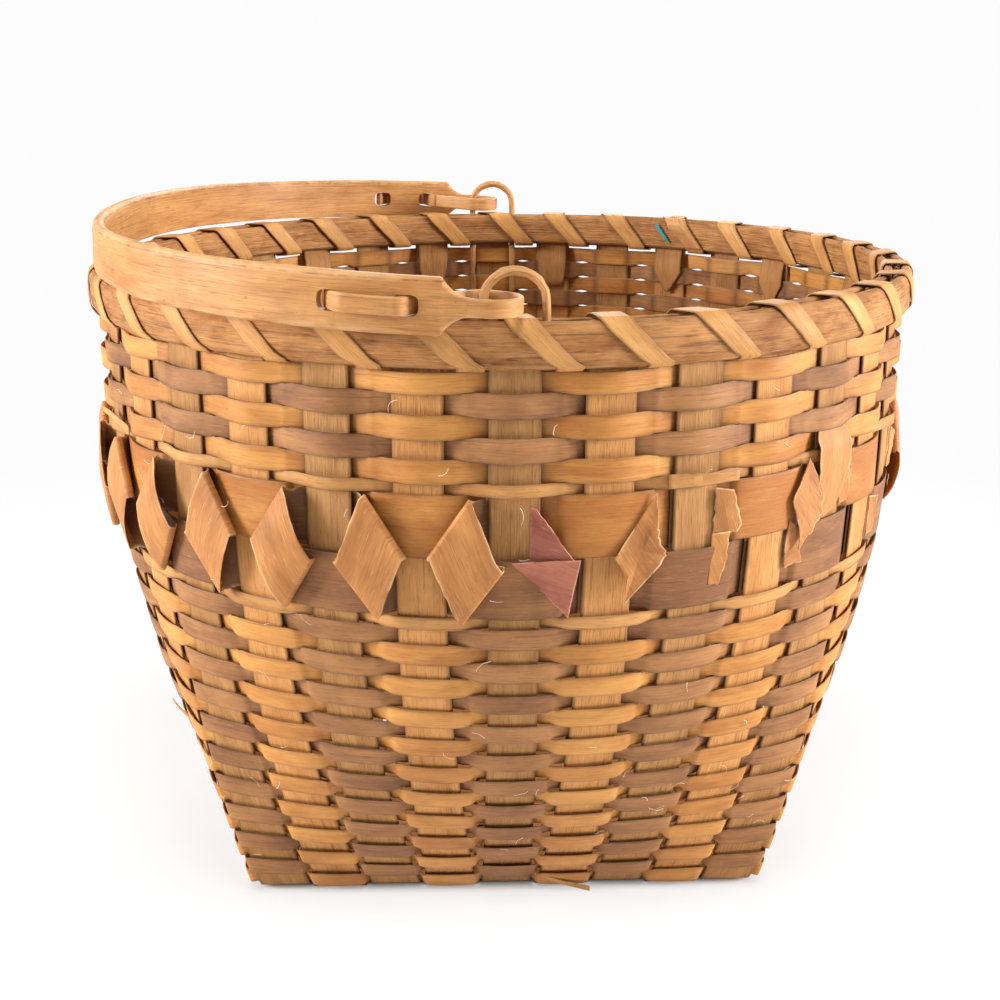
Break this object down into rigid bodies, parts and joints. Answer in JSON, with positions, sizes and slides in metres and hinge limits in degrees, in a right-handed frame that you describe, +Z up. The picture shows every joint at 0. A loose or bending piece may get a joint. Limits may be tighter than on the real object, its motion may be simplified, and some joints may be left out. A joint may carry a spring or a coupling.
{
  "type": "splint basket with swinging bail",
  "caption": "Woven wood-splint basket with a rectangular base, round lashed rim, a band of folded curls and a bentwood bail that swings on two ears.",
  "frame": {"origin": "middle of the underside of the base, on the plane the basket stands on", "axes": "+Z up; -Y is the front, the long side in the picture; the bail's hinge line runs along Y; at rest the bail lies over the rim towards -X"},
  "size_m": [0.392, 0.4102, 0.3145],
  "materials": {
    "stake_splint": "dry matt splint with raised grain",
    "yellow_splint": "smooth splint, old yellow dye",
    "brown_splint": "smooth splint, faded brown dye",
    "tan_splint": "undyed splint, browned with age",
    "curl_splint": "undyed splint, worn edges",
    "hoop_wood": "riven wood, rough grain",
    "lashing_splint": "thin smooth splint",
    "ear_withe": "bent withe, splintery",
    "bail_wood": "shaved hardwood, handled smooth"
  },
  "bodies": {
    "basket": {"stake_front_to_back_1": "stake_splint", "stake_front_to_back_2": "stake_splint", "stake_front_to_back_3": "stake_splint", "stake_front_to_back_4": "stake_splint", "stake_front_to_back_5": "stake_splint", "stake_front_to_back_6": "stake_splint", "stake_front_to_back_7": "stake_splint", "stake_front_to_back_8": "stake_splint", "stake_front_to_back_9": "stake_splint", "stake_side_to_side_1": "stake_splint", "stake_side_to_side_2": "stake_splint", "stake_side_to_side_3": "stake_splint", "stake_side_to_side_4": "stake_splint", "stake_side_to_side_5": "stake_splint", "stake_side_to_side_6": "stake_splint", "stake_side_to_side_7": "stake_splint", "weaver_lower_01": "yellow_splint", "weaver_lower_02": "brown_splint", "weaver_lower_03": "yellow_splint", "weaver_lower_04": "brown_splint", "weaver_lower_05": "yellow_splint", "weaver_lower_06": "brown_splint", "weaver_lower_07": "yellow_splint", "weaver_lower_08": "brown_splint", "weaver_lower_09": "yellow_splint", "weaver_lower_10": "brown_splint", "weaver_lower_11": "yellow_splint", "weaver_lower_12": "brown_splint", "weaver_lower_13": "yellow_splint", "weaver_lower_14": "brown_splint", "weaver_lower_15": "yellow_splint", "weaver_lower_16": "brown_splint", "weaver_lower_17": "yellow_splint", "weaver_lower_18": "brown_splint", "weaver_lower_19": "yellow_splint", "weaver_lower_20": "brown_splint", "weaver_below_bands": "tan_splint", "band_brown": "brown_splint", "band_yellow": "yellow_splint", "weaver_above_bands": "tan_splint", "weaver_upper_1": "yellow_splint", "weaver_upper_2": "brown_splint", "weaver_upper_3": "yellow_splint", "weaver_upper_4": "brown_splint", "weaver_upper_5": "yellow_splint", "curl_strip": "curl_splint", "rim_hoop_outer": "hoop_wood", "rim_hoop_inner": "hoop_wood", "rim_lashing": "lashing_splint", "ear_front": "ear_withe", "ear_back": "ear_withe"},
    "bail": {"bail": "bail_wood"}
  },
  "joints": [
    {"name": "bail_swing", "type": "hinge", "parent": "basket", "child": "bail", "pos_m": [0, 0, 0.296], "axis": [0, 1, 0], "range_deg": [0, 175.4]}
  ]
}
